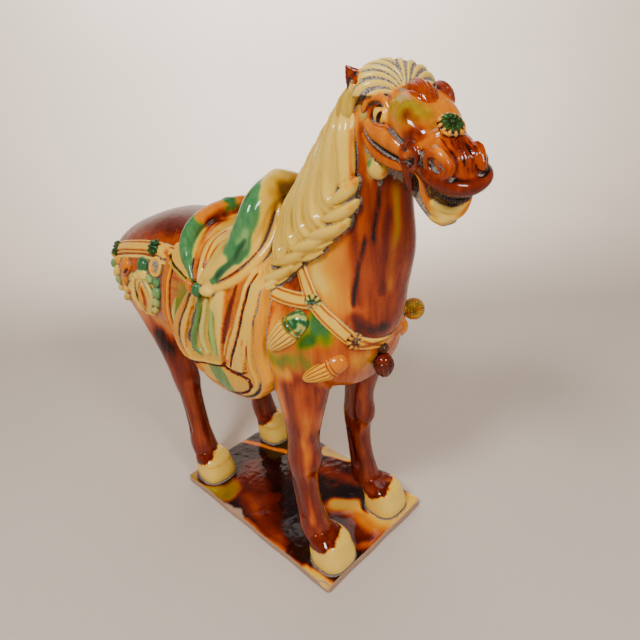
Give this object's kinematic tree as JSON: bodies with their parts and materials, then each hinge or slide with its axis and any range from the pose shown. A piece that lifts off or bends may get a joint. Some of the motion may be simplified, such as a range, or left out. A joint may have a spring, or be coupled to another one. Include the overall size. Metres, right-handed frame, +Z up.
{
  "type": "pottery tomb horse",
  "caption": "Glazed pottery horse, saddled and harnessed, with head turned and mouth open, standing on a thin rectangular plinth.",
  "frame": {"origin": "middle of the plinth's underside", "axes": "+X towards the horse's chest, +Y to its left, +Z up"},
  "size_m": [0.4889, 0.15, 0.4542],
  "materials": {
    "coloured_glaze": "amber, cream and green lead glazes run together, glossy, with pitted grey deposits in the hollows",
    "plinth_glaze": "glossy dark brown glaze on top, bare pinkish clay at the sides"
  },
  "bodies": {
    "root": {"horse": "coloured_glaze", "plinth": "plinth_glaze"}
  },
  "joints": []
}
